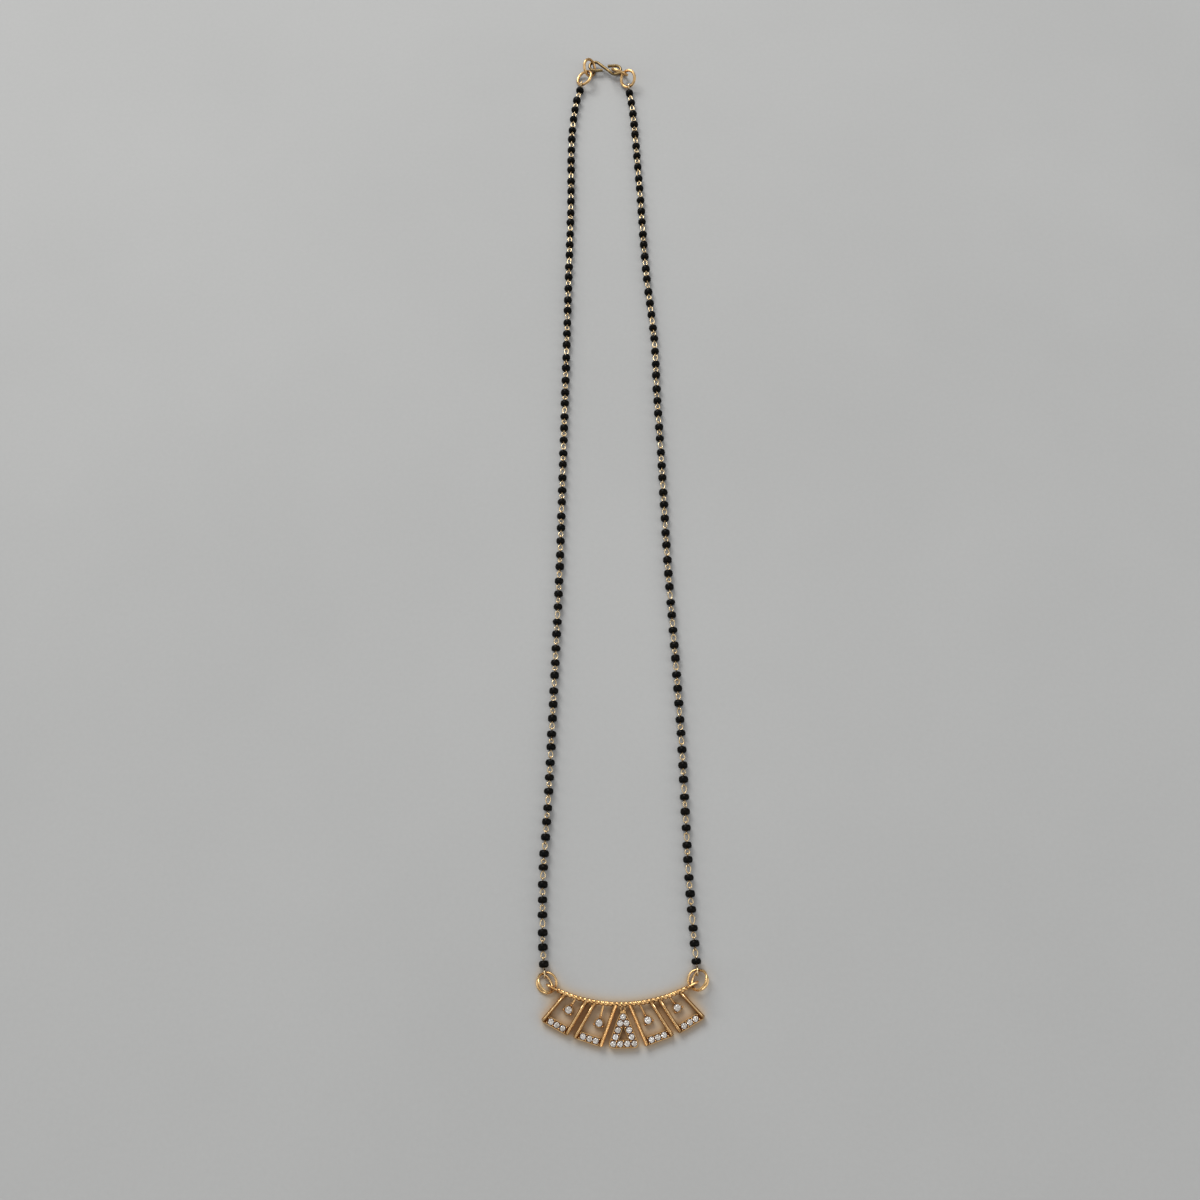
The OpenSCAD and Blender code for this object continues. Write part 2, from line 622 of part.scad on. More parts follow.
// Barrel-shaped bead with rounded edges, drilled from end to end
module bead() {
    r = bead_d / 2;
    edge = min(bead_edge, bead_l / 3);
    corner_angles = [0, 30, 60, 90];
    half = [for (a = corner_angles) [r - edge + edge * cos(a), bead_l / 2 - edge + edge * sin(a)]];
    other_half = [for (i = [len(half) - 1:-1:0]) [half[i][0], -half[i][1]]];
    bore = [[bead_bore / 2, bead_l / 2], [bead_bore / 2, -bead_l / 2]];
    rotate([0, 90, 0]) rotate_extrude($fn = 32) polygon(concat(other_half, half, bore));
}

module bead_strand(line, dist, n) {
    length = dist[len(dist) - 1];
    color(black_glass) on_surface()
        for (i = [0:n - 1])
            translate(flat(place_at(line, dist, bead_s(i, n, length)), bead_z))
                rotate(heading_at(line, dist, bead_s(i, n, length))) bead();
}

// Wire swept along a line as one solid with eight sides, its rings closer near the ends, where
// it bends more
wire_rings = 40;
wire_sides = 8;
wire_ease = 0.5;
function wire_share(u) = u - wire_ease * sin(360 * u) / (2 * PI);
module swept_wire(line, dist) {
    length = dist[len(dist) - 1];
    points = [for (i = [0:wire_rings - 1])
        let (s = length * wire_share(i / (wire_rings - 1)))
        let (p = place_at(line, dist, s), h = heading_at(line, dist, s))
        for (k = [0:wire_sides - 1])
            let (a = 360 * (k + 0.5) / wire_sides)
            [p[0] - sin(h) * cos(a) * chain_wire / 2, p[1] + cos(h) * cos(a) * chain_wire / 2,
                bead_z + sin(a) * chain_wire / 2]];
    polyhedron(points, tube_faces(wire_rings, wire_sides));
}

module upright_eye(p, h) {
    translate(flat(p, bead_z)) rotate(h) rotate([90, 0, 0]) wire_ring(chain_eye_r, chain_eye_wire);
}

module strand_wire(line, dist, side, i) {
    color(pale_gold) on_surface() {
        swept_wire(line, dist);
        upright_eye(front_eye(side), jump_end(side)[3]);
        upright_eye(back_eye(i), SECONDS[i][6]);
    }
}

pendant_frame();
for (s = STONES)
    set_stone(s);
for (j = JUMPS)
    jump_ring(j);
for (i = [0:1])
    first_ring(i);
for (i = [0:1])
    second_ring(i);
s_hook();
bead_strand(LEFT_FINE, LEFT_DIST, beads_left_n);  // beads_left
bead_strand(RIGHT_FINE, RIGHT_DIST, beads_right_n);  // beads_right
strand_wire(LEFT_FINE, LEFT_DIST, -1, 0);  // wire_left
strand_wire(RIGHT_FINE, RIGHT_DIST, 1, 1);  // wire_right
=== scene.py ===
import math

import bmesh
import bpy
import numpy as np
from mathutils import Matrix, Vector


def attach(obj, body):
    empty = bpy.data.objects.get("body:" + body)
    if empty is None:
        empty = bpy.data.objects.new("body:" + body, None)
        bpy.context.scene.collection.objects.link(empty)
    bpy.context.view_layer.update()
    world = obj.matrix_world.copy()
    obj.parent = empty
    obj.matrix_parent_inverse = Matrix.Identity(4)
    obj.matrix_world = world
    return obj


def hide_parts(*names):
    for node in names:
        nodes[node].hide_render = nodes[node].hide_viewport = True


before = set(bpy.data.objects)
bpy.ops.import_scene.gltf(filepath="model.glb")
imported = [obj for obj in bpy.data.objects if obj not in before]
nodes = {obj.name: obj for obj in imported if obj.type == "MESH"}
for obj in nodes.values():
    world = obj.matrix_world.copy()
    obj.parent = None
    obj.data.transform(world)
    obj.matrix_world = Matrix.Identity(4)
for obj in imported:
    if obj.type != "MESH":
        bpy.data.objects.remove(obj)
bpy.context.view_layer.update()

# The necklace's lengths are in millimetres here and become metres where a mesh is made. The
# floor's width and the lights are in metres.
MM = 0.001
rng = np.random.default_rng(7)

# How far the frame's origin lies beyond the low point of the pendant's arc, along +Y
MID_Y = 128.128


# ---------------------------------------------------------------- materials

# How far a narrow place is looked for, and the open share of its surroundings from which a
# place counts as quite open
CREVICE_REACH, QUITE_OPEN = 1.1, 0.92
# The top of the range of heights in which a metal's tone may change
TONE_TOP = 3.0
# The bars' sloping faces: the heights over which their painted shade comes in, and over which it
# goes
SLOPES_IN, SLOPES_OUT = (1.66, 1.69), (1.77, 1.86)
# The painted warm light and shade on the floor beside the pendant: how far they reach, and where
# they fade along the frame's y
GLOW_REACH, GLOW_FADE = 4.0, (-125.0, -118.0)


def new_material(name):
    """A material, its node tree and its shader."""
    m = bpy.data.materials.new(name)
    m.use_nodes = True
    tree = m.node_tree
    tree.nodes.clear()
    out = tree.nodes.new("ShaderNodeOutputMaterial")
    shader = tree.nodes.new("ShaderNodeBsdfPrincipled")
    tree.links.new(shader.outputs["BSDF"], out.inputs["Surface"])
    return m, tree, shader


def add(tree, kind, **values):
    """A node, with values for its inputs and, where no input has the name, its settings."""
    n = tree.nodes.new(kind)
    for key, value in values.items():
        if key in n.inputs:
            n.inputs[key].default_value = value
        else:
            setattr(n, key, value)
    return n


def object_point(tree):
    """Object coordinates, in millimetres."""
    where = add(tree, "ShaderNodeTexCoord")
    place = add(tree, "ShaderNodeMapping", Scale=(1000, 1000, 1000))
    tree.links.new(where.outputs["Object"], place.inputs["Vector"])
    return place.outputs["Vector"]


def coordinate(tree, vector, axis):
    """The X, Y or Z of a vector."""
    apart = add(tree, "ShaderNodeSeparateXYZ")
    tree.links.new(vector, apart.inputs[0])
    return apart.outputs[axis]


def noise(tree, point, scale, detail, rough=0.55):
    n = add(tree, "ShaderNodeTexNoise", Scale=scale, Detail=detail, Roughness=rough)
    tree.links.new(point, n.inputs["Vector"])
    return n.outputs["Fac"]


def ramp(tree, fac, stops):
    """Colour ramp; each stop is a place and a colour or a grey."""
    n = add(tree, "ShaderNodeValToRGB")
    while len(n.color_ramp.elements) < len(stops):
        n.color_ramp.elements.new(0.5)
    for e, (at, c) in zip(n.color_ramp.elements, stops):
        e.position = at
        e.color = (c, c, c, 1) if isinstance(c, (int, float)) else (*c, 1)
    tree.links.new(fac, n.inputs["Fac"])
    return n.outputs["Color"]


def bump(tree, height, strength, distance):
    n = add(tree, "ShaderNodeBump", Strength=strength, Distance=distance * MM)
    tree.links.new(height, n.inputs["Height"])
    return n.outputs["Normal"]


def mix(tree, blend, a, b, share=None):
    """Two colours blended, wholly or by the share that another node gives."""
    n = add(tree, "ShaderNodeMix", data_type="RGBA", blend_type=blend)
    # The node has a set of sockets for each type of data. Colours are inputs 6 and 7, output 2.
    if share is None:
        n.inputs[0].default_value = 1.0
    else:
        tree.links.new(share, n.inputs[0])
    tree.links.new(a, n.inputs[6])
    tree.links.new(b, n.inputs[7])
    return n.outputs[2]


def openness(tree, distance, samples):
    """1 in the open and less where something stands within the distance."""
    n = add(tree, "ShaderNodeAmbientOcclusion", samples=samples, Distance=distance * MM)
    return n.outputs["AO"]


def crevice(tree, dark, narrow):
    """Painted shade: white in the open and the dark colour in narrow places."""
    return ramp(tree, openness(tree, CREVICE_REACH, 8), [(narrow, dark), (QUITE_OPEN, 1.0)])


def uprightness(tree, flat, upright, low=0.25, high=0.6):
    """The flat value where the metal faces up, running to the upright one on upright faces.

    Low and high are the upward parts of the normal between which it runs.
    """
    faces = add(tree, "ShaderNodeNewGeometry")
    up = coordinate(tree, faces.outputs["True Normal"], "Z")
    return ramp(tree, up, [(low, upright), (high, flat)])


def height_tone(tree, point, stops):
    """A colour from the height above the surface; each stop is a height and a colour."""
    share = add(tree, "ShaderNodeMath", operation="DIVIDE")
    tree.links.new(coordinate(tree, point, "Z"), share.inputs[0])
    share.inputs[1].default_value = TONE_TOP
    return ramp(tree, share.outputs[0], [(z / TONE_TOP, c) for z, c in stops])


def metal(name, light, deep, rough, crevice_shade, grain=0.15, narrow=0.35, side_shade=None, slope_shade=None,
          height_shade=None):
    """Polished metal: tone and gloss vary a little, narrow places get deep brown painted shade.

    Rough is the range of its roughness, and the colour after it is the painted shade of its narrow
    places. Grain is the strength of its bumps, and narrow the openness at which a place is fully
    shaded. The last three are painted shade: tones for upright faces, for sloping faces, and at
    given heights.
    """
    m, tree, shader = new_material(name)
    point = object_point(tree)
    tone = ramp(tree, noise(tree, point, 0.55, 4), [(0.3, deep), (0.7, light)])
    # Painted shade in narrow places
    shaded = mix(tree, "MULTIPLY", tone, crevice(tree, crevice_shade, narrow))
    if height_shade:
        # Painted shade by height, lower parts darker
        shaded = mix(tree, "MULTIPLY", shaded, height_tone(tree, point, height_shade))
    if slope_shade:
        # Painted shade: by the tilt of their faces and by height, the bars' sloping faces are
        # darker than their polished ridges.
        slope_shade_stops = zip(SLOPES_IN + SLOPES_OUT, (1.0, slope_shade, slope_shade, 1.0))
        lighter = mix(tree, "LIGHTEN", uprightness(tree, 1.0, slope_shade, 0.88, 0.95),
                      height_tone(tree, point, list(slope_shade_stops)))
        shaded = mix(tree, "MULTIPLY", shaded, lighter)
    if side_shade:
        # Painted shade on upright faces, deeper in colour. Being less metallic, they also send
        # warm light onto the surface beside them.
        shaded = mix(tree, "MULTIPLY", shaded, uprightness(tree, (1, 1, 1), side_shade))
        tree.links.new(uprightness(tree, 0.95, 0.35), shader.inputs["Metallic"])
    else:
        shader.inputs["Metallic"].default_value = 1.0
    tree.links.new(shaded, shader.inputs["Base Color"])
    gloss = ramp(tree, noise(tree, point, 1.3, 5, 0.65), [(0.3, rough[0]), (0.75, rough[1])])
    tree.links.new(gloss, shader.inputs["Roughness"])
    normal = bump(tree, noise(tree, point, 4.0, 4, 0.6), grain, 0.02)
    tree.links.new(normal, shader.inputs["Normal"])
    return m


# Each metal's light and deep tone, range of roughness, and colour of painted shade in narrow
# places
GOLD = (0.96, 0.62, 0.28), (0.74, 0.42, 0.16)
# The pendant gets painted shade on its upright faces and on its bars' sloping faces.
pendant_gold = metal("pendant_gold", *GOLD, (0.18, 0.32), (0.11, 0.04, 0.006), narrow=0.55,
                     side_shade=(0.62, 0.40, 0.20), slope_shade=(0.40, 0.25, 0.13))
# The rope gets painted shade on its lower parts, darker the lower they lie.
rope_gold = metal("rope_gold", *GOLD, (0.18, 0.32), (0.09, 0.03, 0.005), grain=0.08, narrow=0.5,
                  height_shade=[(0.9, (0.25, 0.13, 0.05)), (1.35, (0.45, 0.30, 0.16)), (1.62, 1.0)])
cut_gold = metal("cut_gold", *GOLD, (0.22, 0.34), (0.40, 0.25, 0.12))
# The bars' ridges: a lighter copy of the gold, a painted highlight.
ridge_highlight_gold = metal("ridge_highlight_gold", (1.0, 0.73, 0.40), (0.92, 0.60, 0.28), (0.20, 0.32),
                   (0.40, 0.25, 0.12), grain=0.08)
pale_gold = metal("pale_gold", (0.90, 0.63, 0.32), (0.74, 0.46, 0.19), (0.20, 0.34),
                  (0.30, 0.15, 0.05))
clasp_gold = metal("clasp_gold", (0.86, 0.58, 0.28), (0.66, 0.39, 0.15), (0.26, 0.40),
                   (0.22, 0.10, 0.03))
pin_gold = metal("pin_gold", (0.93, 0.76, 0.49), (0.78, 0.58, 0.30), (0.18, 0.34),
                 (0.35, 0.22, 0.09))
hook_brass = metal("hook_brass", (0.31, 0.22, 0.10), (0.19, 0.13, 0.06), (0.26, 0.42),
                   (0.25, 0.16, 0.07), grain=0.2)


def make_black_glass():
    m, tree, shader = new_material("black_glass")
    point = object_point(tree)
    tone = ramp(tree, noise(tree, point, 0.3, 2), [(0.35, (0.0015, 0.002, 0.002)),
                                                   (0.7, (0.004, 0.003, 0.002))])
    tree.links.new(tone, shader.inputs["Base Color"])
    gloss = ramp(tree, noise(tree, point, 1.8, 4, 0.6), [(0.3, 0.22), (0.75, 0.45)])
    tree.links.new(gloss, shader.inputs["Roughness"])
    tree.links.new(bump(tree, noise(tree, point, 1.5, 3), 0.3, 0.08), shader.inputs["Normal"])
    shader.inputs["IOR"].default_value = 1.5
    shader.inputs["Specular IOR Level"].default_value = 0.07
    return m


def make_clear_stone():
    m, tree, shader = new_material("clear_stone")
    point = object_point(tree)
    tone = ramp(tree, noise(tree, point, 2.3, 1), [(0.40, (0.50, 0.42, 0.33)),
                                                   (0.58, (1.0, 0.98, 0.96))])
    tree.links.new(tone, shader.inputs["Base Color"])
    gloss = ramp(tree, noise(tree, point, 3.0, 2), [(0.3, 0.0), (0.8, 0.03)])
    tree.links.new(gloss, shader.inputs["Roughness"])
    shader.inputs["IOR"].default_value = 2.15
    shader.inputs["Transmission Weight"].default_value = 1.0
    return m


def make_paper():
    m, tree, shader = new_material("pale_floor")
    point = object_point(tree)
    broad = ramp(tree, noise(tree, point, 0.008, 4, 0.6), [(0.3, 0.94), (0.7, 1.0)])
    fine = ramp(tree, noise(tree, point, 0.9, 3, 0.7), [(0.2, (0.425, 0.430, 0.430)),
                                                        (0.8, (0.445, 0.450, 0.450))])
    # Painted light and shade: the floor right beside the pendant is tinted with the warm light it
    # throws there, darkest and brownest in the narrowest places, fading along the frame's y.
    near = openness(tree, GLOW_REACH, 12)
    painted_light_and_shade = ramp(tree, near, [(0.15, (0.33, 0.16, 0.05)), (0.38, (0.50, 0.34, 0.18)),
                             (0.6, (0.54, 0.44, 0.31))])
    closeness = ramp(tree, near, [(0.6, 1.0), (0.93, 0.0)])
    fade = add(tree, "ShaderNodeMapRange", **{"From Min": GLOW_FADE[0], "From Max": GLOW_FADE[1],
                                              "To Min": 1.0, "To Max": 0.0})
    tree.links.new(coordinate(tree, point, "Y"), fade.inputs["Value"])
    both = add(tree, "ShaderNodeMath", operation="MULTIPLY")
    tree.links.new(fade.outputs["Result"], both.inputs[0])
    tree.links.new(closeness, both.inputs[1])
    plain = mix(tree, "MULTIPLY", fine, broad)
    tree.links.new(mix(tree, "MIX", plain, painted_light_and_shade, both.outputs[0]), shader.inputs["Base Color"])
    shader.inputs["Roughness"].default_value = 0.85
    shader.inputs["Specular IOR Level"].default_value = 0.2
    tree.links.new(bump(tree, noise(tree, point, 1.6, 5, 0.7), 0.15, 0.1), shader.inputs["Normal"])
    return m


black_glass = make_black_glass()
clear_stone = make_clear_stone()


# ---------------------------------------------------------------- meshes

# Corners of a CAD mesh that are nearer to each other than this, in metres, are one.
WELD = 1e-6
# Where a tapered ring has its full width: beyond its middle, as a share of its half length
FULL_WIDTH_AT = 0.4


def piece(name, points, faces, mat, slot, *replaced):
    """A smooth mesh from points in millimetres. It rides on the one body."""
    mesh = bpy.data.meshes.new(name)
    mesh.from_pydata([tuple(MM * c for c in p) for p in points], [], faces)
    mesh.polygons.foreach_set("use_smooth", [True] * len(mesh.polygons))
    mesh.materials.append(mat)
    mesh.update()
    o = bpy.data.objects.new(name, mesh)
    bpy.context.scene.collection.objects.link(o)
    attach(o, "root")
    if replaced:
        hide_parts(*replaced)


class Mesh:
    """Points and faces of several closed shapes together."""

    def __init__(self):
        self.points, self.faces = [], []

    def grid(self, rows, loop_rows, caps=False):
        """Faces between rows of points; a row closes on itself, and so may the rows."""
        start, n, m = len(self.points), len(rows), len(rows[0])
        for row in rows:
            self.points.extend(tuple(p) for p in row)
        for i in range(n if loop_rows else n - 1):
            a, b = start + i * m, start + (i + 1) % n * m
            for k in range(m):
                self.faces.append((a + k, a + (k + 1) % m, b + (k + 1) % m, b + k))
        if caps:
            self.faces.append(tuple(start + k for k in reversed(range(m))))
            self.faces.append(tuple(start + (n - 1) * m + k for k in range(m)))

    def ring(self, mid, u, v, r, wire, along, around, stretch=1.0, taper=0.0):
        """A ring of wire in the plane of u and v, longer along u and narrower at its start."""
        mid, u, v = np.array(mid, float), np.array(u, float), np.array(v, float)
        up = np.cross(u, v)
        rows = []
        for a in np.linspace(0, 2 * math.pi, along, endpoint=False):
            width = r * (1 + taper * (math.cos(a) - FULL_WIDTH_AT))
            centre = mid + r * stretch * math.cos(a) * u + width * math.sin(a) * v
            out = unit(math.cos(a) * u + stretch * math.sin(a) * v)
            rows.append([centre + wire / 2 * (math.cos(b) * out + math.sin(b) * up)
                         for b in np.linspace(0, 2 * math.pi, around, endpoint=False)])
        self.grid(rows, True)

    def tube(self, path, wire, around=8):
        """A wire along a path of points, closed at both ends."""
        path = np.array(path, float)
        rows, side = [], None
        for i, p in enumerate(path):
            t = unit(path[min(i + 1, len(path) - 1)] - path[max(i - 1, 0)])
            side = unit(np.cross(t, (0, 0, 1)) if side is None else side - np.dot(side, t) * t)
            up = np.cross(side, t)
            rows.append([p + wire / 2 * (math.cos(b) * side + math.sin(b) * up)
                         for b in np.linspace(0, 2 * math.pi, around, endpoint=False)])
        self.grid(rows, False, True)


def unit(v):
    v = np.array(v, float)
    return v / np.linalg.norm(v)


def heading(deg):
    """The level direction that lies so many degrees from +X towards +Y."""
    return np.array([math.cos(math.radians(deg)), math.sin(math.radians(deg)), 0.0])


def islands(name):
    """Middles, in millimetres, of the loose solids of a node, front to back."""
    bm = bmesh.new()
    bm.from_mesh(nodes[name].data)
    bmesh.ops.remove_doubles(bm, verts=bm.verts, dist=WELD)
    bm.verts.ensure_lookup_table()
    seen, middles = set(), []
    for v in bm.verts:
        if v.index in seen:
            continue
        stack, part = [v], []
        seen.add(v.index)
        while stack:
            w = stack.pop()
            part.append(w.co[:])
            for e in w.link_edges:
                x = e.other_vert(w)
                if x.index not in seen:
                    seen.add(x.index)
                    stack.append(x)
        part = np.array(part)
        middles.append((part.min(0) + part.max(0)) / 2 / MM)
    bm.free()
    return sorted(middles, key=lambda p: p[1])


# ---------------------------------------------------------------- beads and their wire

# A bead: its width, its length along the wire, the radius of its bore and of its rounded edge,
# the bulge of its side, and the number of points round it
BEAD_D, BEAD_L, BORE_R, BEAD_EDGE, BEAD_BULGE, BEAD_POINTS = 2.36, 1.6, 0.4, 0.58, 0.03, 24
# The range of the beads' lengths and widths, as shares
LENGTHS, WIDTHS = (0.88, 1.06), (0.965, 1.0)
# How uneven a bead is: waves of two and of three round it, as shares of its radius, what they
# are lowered by to stay within its width, and the slope of its ends
TWO_WAVES, THREE_WAVES, WAVES_LOWERED, END_TILT = 0.022, 0.014, 0.036, 0.07

# The pins' wire, the greatest half width of their eyes, how much narrower a long eye is at its
# root, and how far a pin's stem comes out of its bead
PIN_WIRE, EYE_HALF_W, EYE_TAPER, STEM_OUT = 0.28, 0.58, 0.22, 0.12
# What a long eye leaves free in its link, and what a short one has over three wires
LONG_EYE_FREE, SHORT_EYE_OVER = 0.05, 0.07
# How far the long eyes turn from flat and the short ones from upright: standard deviations of
# these turns, in degrees
FLAT_SPREAD, UPRIGHT_SPREAD = 17, 20

# The round eyes at the ends of the strands, through which the rings go, as in the CAD: height,
# radius and wire, then for each its x, its y from the arc's low point, and its heading
BEAD_Z, END_EYE_R, END_EYE_WIRE = 1.15, 0.95, 0.4
FRONT_EYES = {"left": ((-17.83, 6.53), 91.7), "right": ((16.90, 7.14), 90.0)}
BACK_EYES = {"left": ((-10.76, 257.56), 81.7), "right": ((3.20, 256.66), 95.7)}


def bead_rows(centre, axis, size, length):
    """Rows of points round a drilled bead, uneven as a glass bead is."""
    side = unit(np.cross((0, 0, 1), axis))
    up = np.cross(axis, side)
    r, half = BEAD_D / 2 * size, length / 2
    edge = BEAD_EDGE * size
    corner = [(r - edge + edge * math.cos(a), half - edge + edge * math.sin(a))
              for a in np.radians([0, 22, 45, 67, 90])]
    belly = [(r + BEAD_BULGE * math.cos(math.pi * t / 2), t * (half - edge))
             for t in (-0.5, 0, 0.5)]
    profile = ([(BORE_R, -half)] + [(a, -b) for a, b in reversed(corner)] + belly
               + corner + [(BORE_R, half)])
    two, three, tip = rng.uniform(0, 2 * math.pi, 3)
    rows = []
    for a, b in profile:
        row = []
        for t in np.linspace(0, 2 * math.pi, BEAD_POINTS, endpoint=False):
            waves = (TWO_WAVES * math.cos(2 * t + two) + THREE_WAVES * math.cos(3 * t + three)
                     - WAVES_LOWERED)
            lump = 1 + waves * (a - BORE_R) / (r - BORE_R)
            slip = END_TILT * math.cos(t + tip) * (a - BORE_R) * (1 if b > 0 else -1)
            row.append(centre + axis * (b + slip)
                       + a * lump * (math.cos(t) * side + math.sin(t) * up))
        rows.append(row)
    return rows


def eye(wire, root, along, d, roll):
    """Adds a pin's eye, d long from its root, rolled so many degrees from flat."""
    flat = unit(np.cross((0, 0, 1), along))
    up = np.cross(along, flat)
    across = math.cos(math.radians(roll)) * flat + math.sin(math.radians(roll)) * up
    r = (d - PIN_WIRE) / 2
    width = min(r, EYE_HALF_W)
    wire.ring(root + along * d / 2, along, across, width, PIN_WIRE, 20, 8, stretch=r / width,
              taper=EYE_TAPER if r > width else 0.0)


def strand(side):
    """The beads of one strand, and the wire pins with an eye at either end that carry them."""
    mids = [np.array(m) for m in islands("beads_" + side)]
    (fx, fy), front_turn = FRONT_EYES[side]
    (bx, by), back_turn = BACK_EYES[side]
    front = np.array([fx, fy - MID_Y, BEAD_Z])
    back = np.array([bx, by - MID_Y, BEAD_Z])
    stops = [front, *mids, back]
    axes = [unit(after - before) for before, after in zip(stops, stops[2:])]
    beads, wire = Mesh(), Mesh()
    lengths = BEAD_L * rng.uniform(*LENGTHS, len(mids))
    sizes = rng.uniform(*WIDTHS, len(mids))
    for m, axis, size, length in zip(mids, axes, sizes, lengths):
        rest = np.array([m[0], m[1], BEAD_D / 2 * size])
        beads.grid(bead_rows(rest, axis, size, length), True)
    ends = [[m - a * l / 2, m + a * l / 2] for m, a, l in zip(mids, axes, lengths)]

    for (_, start), (end, _) in zip(ends, ends[1:]):
        g = np.linalg.norm(end - start)
        along = (end - start) / g
        # In each link a long eye lies nearly flat and a short one stands in its end.
        long_eye, short_eye = g - PIN_WIRE - LONG_EYE_FREE, 3 * PIN_WIRE + SHORT_EYE_OVER
        if long_eye < short_eye:
            long_eye = short_eye = (g + 2 * PIN_WIRE) / 2
        flat, upright = rng.normal(0, FLAT_SPREAD), 90 + rng.normal(0, UPRIGHT_SPREAD)
        pair = [(long_eye, flat), (short_eye, upright)]
        if rng.random() >= 0.5:
            pair.reverse()
        eye(wire, start, along, *pair[0])
        eye(wire, end, -along, *pair[1])
    for m, a, l in zip(mids, axes, lengths):
        wire.tube([m - a * (l / 2 + STEM_OUT), m, m + a * (l / 2 + STEM_OUT)], PIN_WIRE)
    for place, turn, reach in ((front, front_turn, ends[0][0]), (back, back_turn, ends[-1][1])):
        wire.ring(place, heading(turn), (0, 0, 1), END_EYE_R, END_EYE_WIRE, 40, 10)
        near = place + unit(reach - place) * END_EYE_R
        wire.tube([near, (near + reach) / 2, reach], PIN_WIRE)
    piece("bead_strand_" + side, beads.points, beads.faces, black_glass, "black_glass",
          "beads_" + side)
    piece("wire_pins_" + side, wire.points, wire.faces, pin_gold, "pale_gold", "wire_" + side)


for side in ("left", "right"):
    strand(side)


# ---------------------------------------------------------------- rope of the pendant

# The pendant's own drawing starts at the low point of its arc. The pendant lies turned from it,
# in degrees, and moved in x.
PENDANT_TURN, PENDANT_X = 1.1, -0.1
# As in the CAD: the arc's radius, and the rope's length, width, height and ridges
ARC_R, ROPE_L, ROPE_D, ROPE_Z, ROPE_RIDGES = 34.5, 30.2, 1.1, 1.25, 29
# The wire of its two strands, how far they stand out of the CAD's rope, and the points of each
STRAND_WIRE, STRAND_OUT, STRAND_POINTS = 0.6, 0.006, 261


def as_pendant_lies(p):
    """A point of the pendant's own drawing, where the pendant lies."""
    a = math.radians(PENDANT_TURN)
    return np.array([p[0] * math.cos(a) - p[1] * math.sin(a) + PENDANT_X,
                     p[0] * math.sin(a) + p[1] * math.cos(a) - MID_Y, p[2]])


rope = Mesh()
for phase in (0, math.pi):
    path = []
    for share in np.linspace(0, 1, STRAND_POINTS):
        a = ROPE_L * (share - 0.5) / ARC_R
        t = math.pi * ROPE_RIDGES * share + phase
        r = (ROPE_D - STRAND_WIRE) / 2 + STRAND_OUT
        low = np.array([ARC_R * math.sin(a), ARC_R * (1 - math.cos(a)), ROPE_Z])
        across = np.array([-math.sin(a), math.cos(a), 0])
        path.append(as_pendant_lies(low + r * math.cos(t) * across
                                    + np.array([0, 0, r * math.sin(t)])))
    rope.tube(path, STRAND_WIRE, 10)
piece("rope_strands", rope.points, rope.faces, rope_gold, "pendant_gold")


# ---------------------------------------------------------------- ridges and cuts of the side bars

# The side bars of one half: where each leaves the rope across the pendant, its lean and length,
# the height of its cut lines, and the places where they end and where its polished ridge lies.
# These last two are shares of the bar's half width.
#       across, lean, length, cut height, cuts' end, ridge
BARS = [(12.9, 42.5, 7.4, 0, 0, 0.0), (8.2, 32.5, 8.15, 0.03, 0.1, 0.25),
        (6.25, 32.0, 8.55, 0.03, 0.1, 0.25), (1.55, 22.5, 9.3, 0.045, 0.96, None)]
# As in the CAD: a bar's half width, and its height in the middle and at its sides
BAR_HALF_W, BAR_H, BAR_SIDE_H = 0.39, 1.95, 1.7
# The cut lines' pitch and width, how far they slant over the half width, where across the bar
# they start, how deep their foot lies in the roof, and their crest's half, as a share of the width
CUT_PITCH, CUT_W, CUT_SLANT, CUT_START, CUT_FOOT, CUT_CREST = 0.36, 0.2, 0.3, -0.96, 0.03, 0.15
# How far down the bar the first cut line lies, and how far from its end the last one stays
CUTS_FROM, CUTS_SHORT = 1.1, 0.05
# The ridge's wire, how deep its middle lies in the roof, how far down the bar it starts, and
# how far past the bar's end it runs
RIDGE_WIRE, RIDGE_SUNK, RIDGE_FROM, RIDGE_OVER = 0.34, 0.12, 0.5, 0.22

cuts, ridges = Mesh(), Mesh()


def cover_bar(mirror, x, lean, length, rise, cut_end, ridge):
    """Adds the cut lines and the ridge of one side bar; mirror is -1 on the left half."""
    top = np.array([x, ARC_R * (1 - math.cos(math.asin(x / ARC_R))), 0])
    down = np.array([math.sin(math.radians(lean)), -math.cos(math.radians(lean)), 0])
    across = np.array([-down[1], down[0], 0])

    def on_roof(s, side, lift):
        """A place on the bar, from its way down, its share of the half width and its lift."""
        high = BAR_H + (BAR_SIDE_H - BAR_H) * abs(side) + lift
        p = top + s * down + side * BAR_HALF_W * across + np.array([0, 0, high])
        return as_pendant_lies(p * np.array([mirror, 1, 1]))

    if rise:
        section = [(-0.5, -CUT_FOOT), (0.5, -CUT_FOOT), (CUT_CREST, rise), (-CUT_CREST, rise)]
        for s in np.arange(CUTS_FROM, length - CUTS_SHORT, CUT_PITCH):
            rows = [[on_roof(s + side * CUT_SLANT + w * CUT_W, side, z)
                     for w, z in section[::mirror]]
                    for side in (CUT_START, (CUT_START + cut_end) / 2, cut_end)]
            cuts.grid(rows, False, True)
    if ridge is not None:
        ridges.tube([on_roof(s, ridge, -RIDGE_SUNK)
                     for s in np.linspace(RIDGE_FROM, length + RIDGE_OVER, 5)], RIDGE_WIRE, 14)


for mirror in (1, -1):
    for bar in BARS:
        cover_bar(mirror, *bar)
piece("bar_ridges", ridges.points, ridges.faces, ridge_highlight_gold, "pendant_gold")
piece("bar_cuts", cuts.points, cuts.faces, cut_gold, "pendant_gold")


# ---------------------------------------------------------------- the CAD nodes

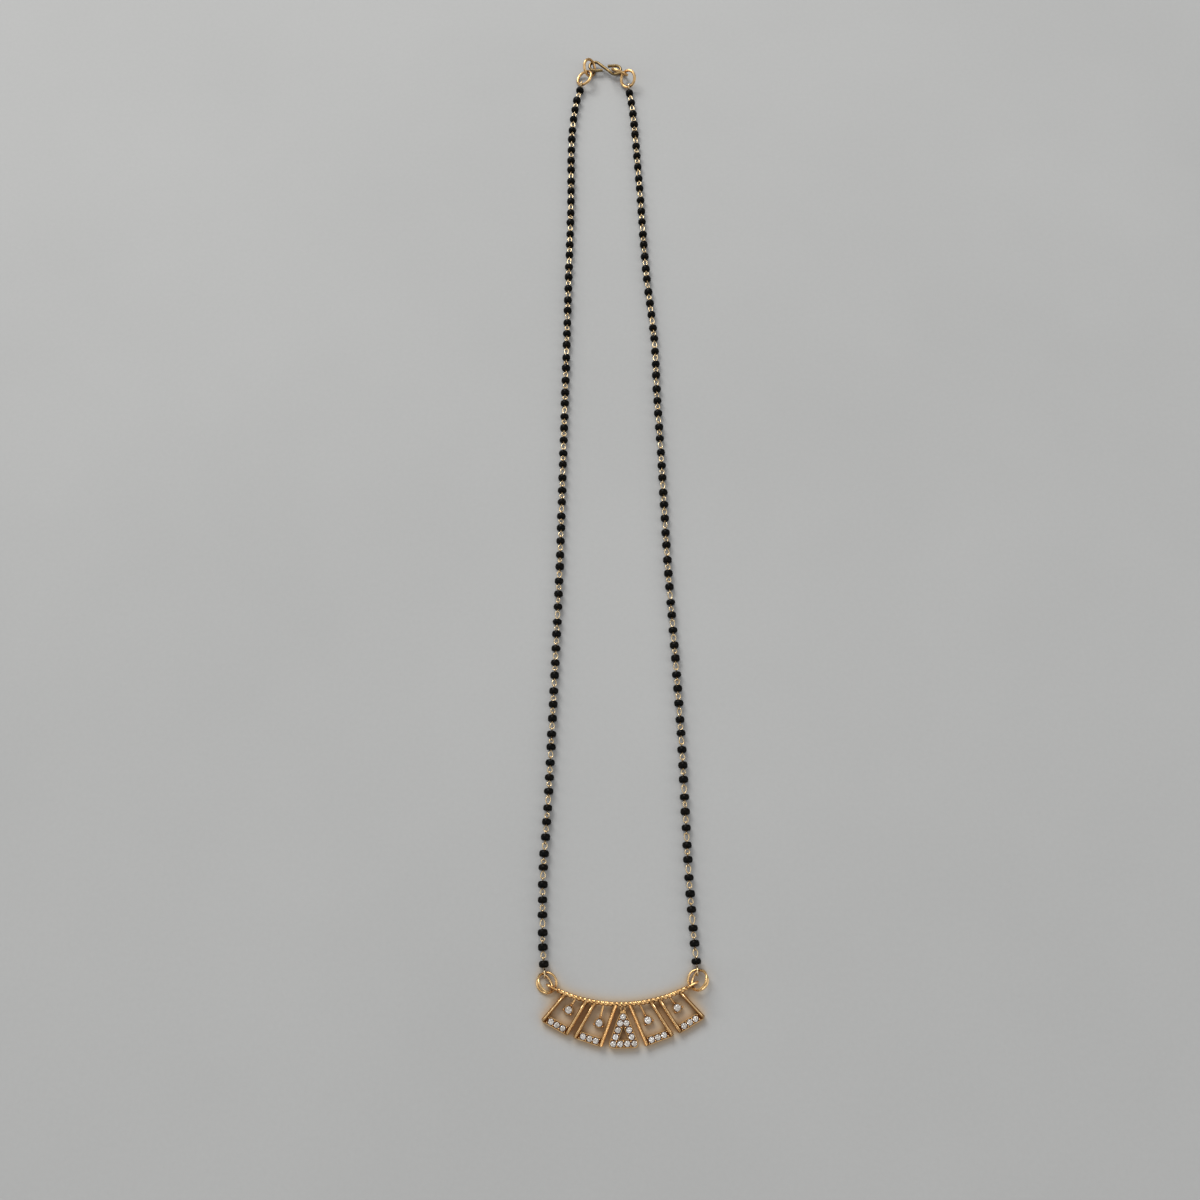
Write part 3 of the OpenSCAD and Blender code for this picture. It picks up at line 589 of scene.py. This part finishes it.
NODE_MATERIALS = {"pendant_frame": pendant_gold, "stone": clear_stone, "jump_ring": pale_gold,
                  "clasp_ring": clasp_gold, "s_hook": hook_brass, "beads": black_glass,
                  "wire": pale_gold}


def dress(o, mat):
    o.data.materials.clear()
    o.data.materials.append(mat)
    for p in o.data.polygons:
        p.material_index = 0


for name, node in nodes.items():
    dress(node, next(mat for word, mat in NODE_MATERIALS.items() if word in name))


# ---------------------------------------------------------------- floor, light and camera

# Half the floor's width, in metres, and how far it lies below the necklace
FLOOR_HALF, FLOOR_DROP = 3, 0.02
# The camera looks along +Y, so many degrees down. Its place is its x, its y from the low point
# of the pendant's arc, and its height.
CAMERA_DOWN, CAMERA_PLACE = 71, (-5.24, -1.91, 287)

floor_mesh = bpy.data.meshes.new("floor")
floor_mesh.from_pydata([(x * FLOOR_HALF, y * FLOOR_HALF, 0)
                        for x, y in ((-1, -1), (1, -1), (1, 1), (-1, 1))], [], [(0, 1, 2, 3)])
floor_mesh.materials.append(make_paper())
floor = bpy.data.objects.new("floor", floor_mesh)
bpy.context.scene.collection.objects.link(floor)
floor.location.z = -FLOOR_DROP * MM


def area(name, place, target, size, power, color):
    light = bpy.data.lights.new(name, "AREA")
    light.shape = "RECTANGLE"
    light.size, light.size_y = size
    light.energy = power
    light.color = color
    o = bpy.data.objects.new(name, light)
    bpy.context.scene.collection.objects.link(o)
    o.location = place
    o.rotation_euler = (Vector(target) - Vector(place)).to_track_quat("-Z", "Y").to_euler()


# Each light's place and target, the lengths of its sides, its power in watts and its colour
area("sky_window", (-0.45, 1.0, 0.95), (0, 0.12, 0), (0.9, 0.7), 16.5, (1.0, 0.985, 0.96))
area("low_fill", (0.9, -0.3, 0.9), (0, 0, 0), (0.8, 0.8), 1.2, (1.0, 0.99, 0.98))
area("left_strip", (-1.15, -0.25, 0.55), (0, -0.12, 0), (0.8, 0.35), 2.0, (1.0, 0.97, 0.93))
area("right_strip", (1.15, -0.25, 0.55), (0, -0.12, 0), (0.8, 0.35), 1.6, (1.0, 0.97, 0.93))

# Bright overhead and dimmer towards the horizon, as in a room
world = bpy.data.worlds.new("studio")
world.use_nodes = True
sky_tree = world.node_tree
where = add(sky_tree, "ShaderNodeTexCoord")
sky = ramp(sky_tree, coordinate(sky_tree, where.outputs["Generated"], "Z"),
           [(0.0, (0.25, 0.24, 0.23)), (0.35, (0.50, 0.50, 0.50)), (0.85, (0.84, 0.85, 0.86)),
            (0.97, (1.0, 1.0, 1.0))])
background = sky_tree.nodes["Background"]
sky_tree.links.new(sky, background.inputs["Color"])
background.inputs["Strength"].default_value = 0.66
bpy.context.scene.world = world
bpy.context.scene.view_settings.view_transform = "Standard"

camera = bpy.data.cameras.new("camera")
camera.sensor_width = camera.lens = 36
camera.clip_start, camera.clip_end = 0.01, 20
viewer = bpy.data.objects.new("camera", camera)
bpy.context.scene.collection.objects.link(viewer)
x, y, z = CAMERA_PLACE
viewer.location = (x * MM, (y - MID_Y) * MM, z * MM)
viewer.rotation_euler = (math.radians(90 - CAMERA_DOWN), 0, 0)
bpy.context.scene.camera = viewer
